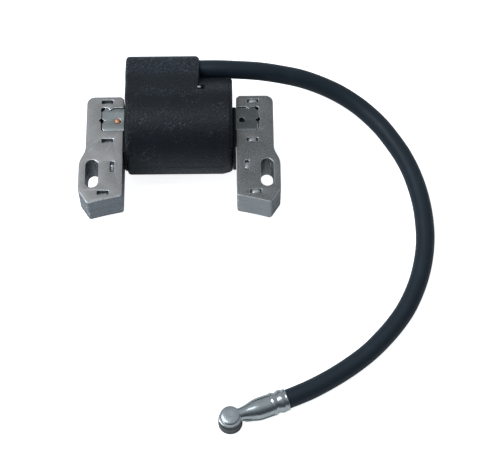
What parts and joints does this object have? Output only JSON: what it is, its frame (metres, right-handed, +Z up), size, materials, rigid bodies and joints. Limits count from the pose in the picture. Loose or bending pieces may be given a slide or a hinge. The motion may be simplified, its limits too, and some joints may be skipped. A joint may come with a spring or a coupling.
{
  "type": "ignition coil",
  "caption": "Flywheel ignition coil: laminated steel pole legs on a core bar, moulded round coil body, and a black spark lead ending in a pressed-steel plug terminal.",
  "frame": {"origin": "on the flat under the coil body that the coil rests on, at the middle of the coil's length and depth, the free lead not counted", "axes": "+X along the core bar towards the side that the lead leaves from, +Y away from the flywheel, +Z up, square to the steel plates"},
  "size_m": [0.1431, 0.1562, 0.0361],
  "materials": {
    "leg_steel": "annealed lamination steel, dull grey with bright worn edges",
    "bar_steel": "annealed lamination steel",
    "copper": "bare copper",
    "winding_copper": "enamelled copper wire",
    "case_plastic": "moulded black plastic, finely grained",
    "spool_plastic": "smooth black plastic",
    "insulation": "amber film tape",
    "resin": "black potting resin",
    "board": "green circuit board",
    "component_black": "moulded component body",
    "component_tan": "painted component body",
    "tinned": "tinned wire",
    "contact_brass": "plain brass",
    "lead_rubber": "matt black rubber jacket",
    "terminal_zinc": "bright zinc plate over pressed steel",
    "ring_black": "black insulating ring"
  },
  "bodies": {
    "root": {"left_pole_laminations": "leg_steel", "right_pole_laminations": "leg_steel", "core_bar_laminations": "bar_steel", "ground_pin": "copper", "ground_wire": "copper", "left_end_cheek": "spool_plastic", "right_end_cheek": "spool_plastic", "primary_bobbin": "spool_plastic", "primary_winding": "winding_copper", "primary_insulation": "insulation", "secondary_bobbin": "spool_plastic", "secondary_winding": "winding_copper", "coil_case": "case_plastic", "potting_compound": "resin", "circuit_board": "board", "power_transistor": "component_black", "trigger_transistor": "component_black", "bias_resistors": "component_tan", "clamp_diode": "component_tan", "primary_wire": "copper", "stop_pin": "tinned", "stop_wire": "tinned", "hv_link_wire": "copper", "hv_contact": "contact_brass", "spark_lead": "lead_rubber", "lead_conductor": "tinned", "terminal_shell": "terminal_zinc", "terminal_contact": "contact_brass", "terminal_clip": "tinned", "terminal_ring": "ring_black"}
  },
  "joints": []
}
